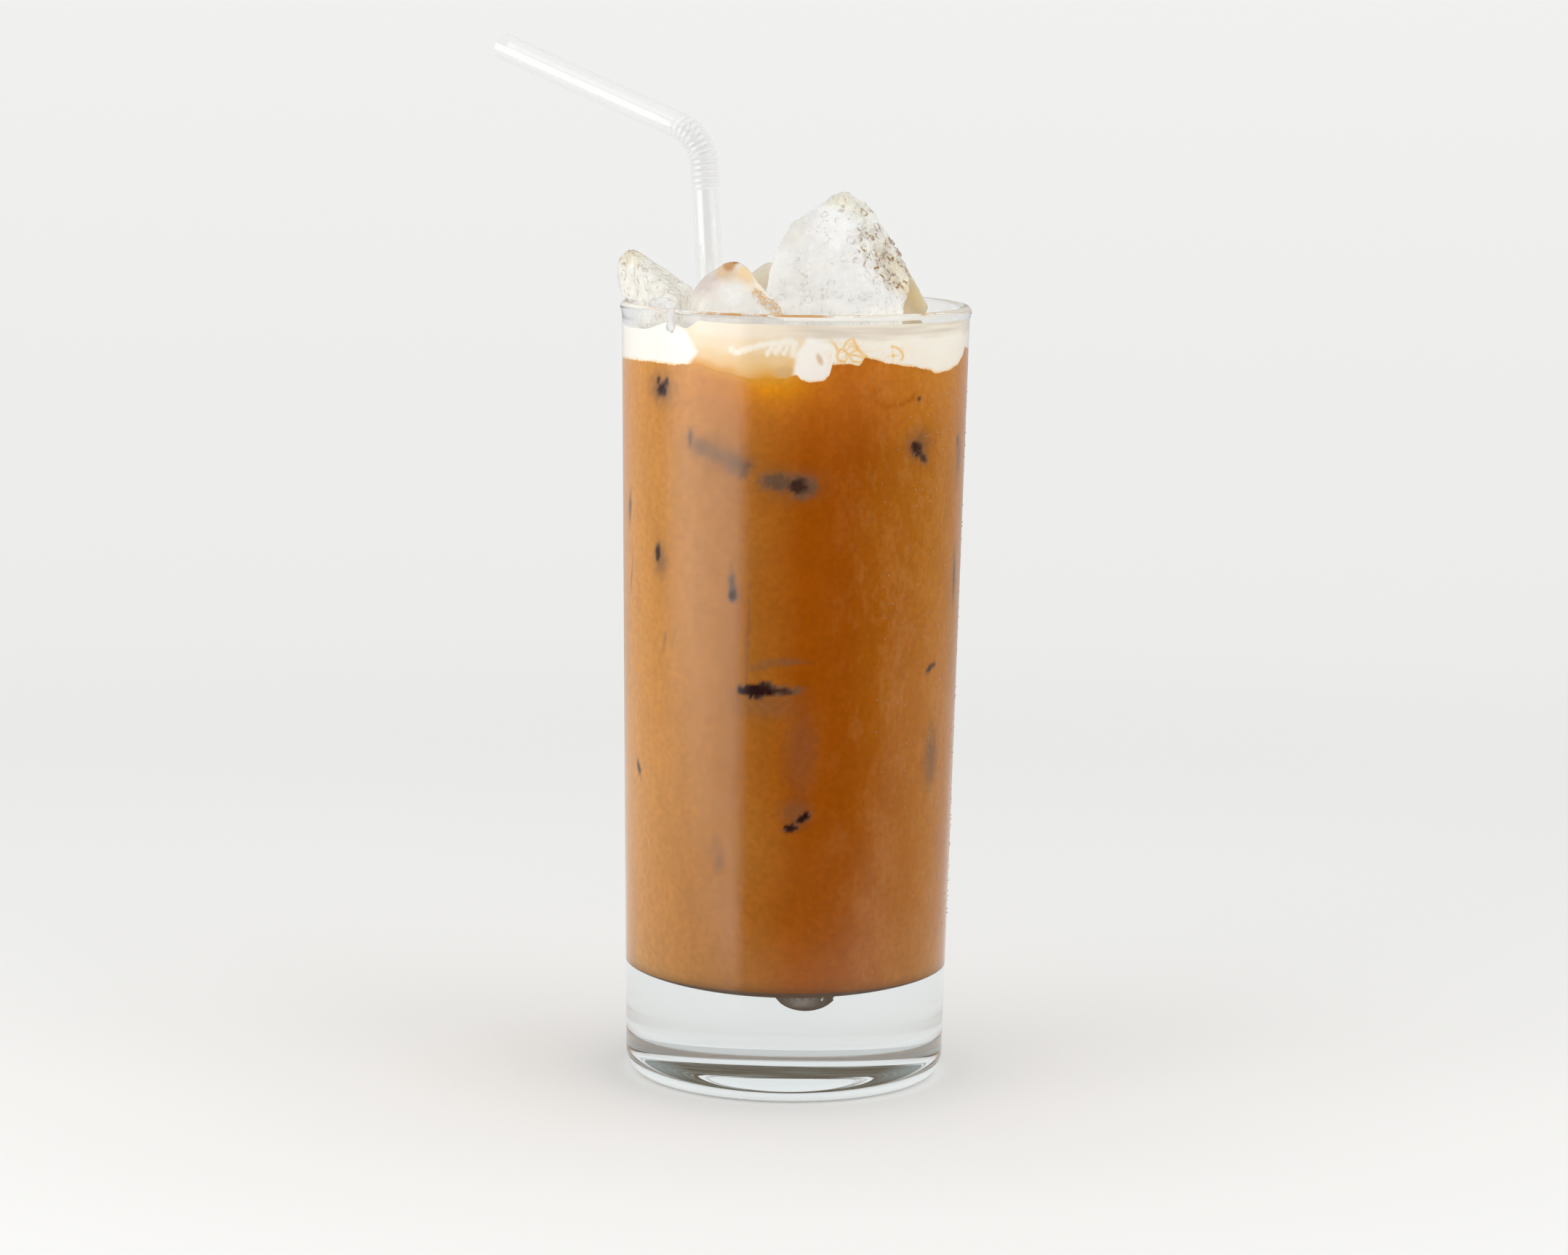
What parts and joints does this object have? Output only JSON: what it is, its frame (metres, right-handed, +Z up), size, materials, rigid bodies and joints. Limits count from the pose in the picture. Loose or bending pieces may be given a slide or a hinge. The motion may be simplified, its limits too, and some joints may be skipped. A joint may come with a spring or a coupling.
{
  "type": "iced coffee in a glass",
  "caption": "Iced milk coffee with floating cream and chunks of ice in a tall thick-based glass, with a clear bendable straw.",
  "frame": {"origin": "middle of the whole object's box, on the surface that the glass stands on", "axes": "+Z up along the glass; -X towards the straw's mouth end; +Y away from the side that the picture shows"},
  "size_m": [0.0936, 0.0674, 0.2002],
  "materials": {
    "glass": "clear, polished, with a faint blue-green cast",
    "coffee": "opaque milky liquid",
    "cream": "thick opaque cream",
    "ice": "clear to cloudy, cracked and wet",
    "straw": "clear soft plastic"
  },
  "bodies": {
    "root": {"glass": "glass", "coffee": "coffee", "cream": "cream", "ice_peak": "ice", "ice_left": "ice", "ice_hump": "ice", "ice_back_right": "ice", "ice_back_middle": "ice", "straw": "straw"}
  },
  "joints": []
}
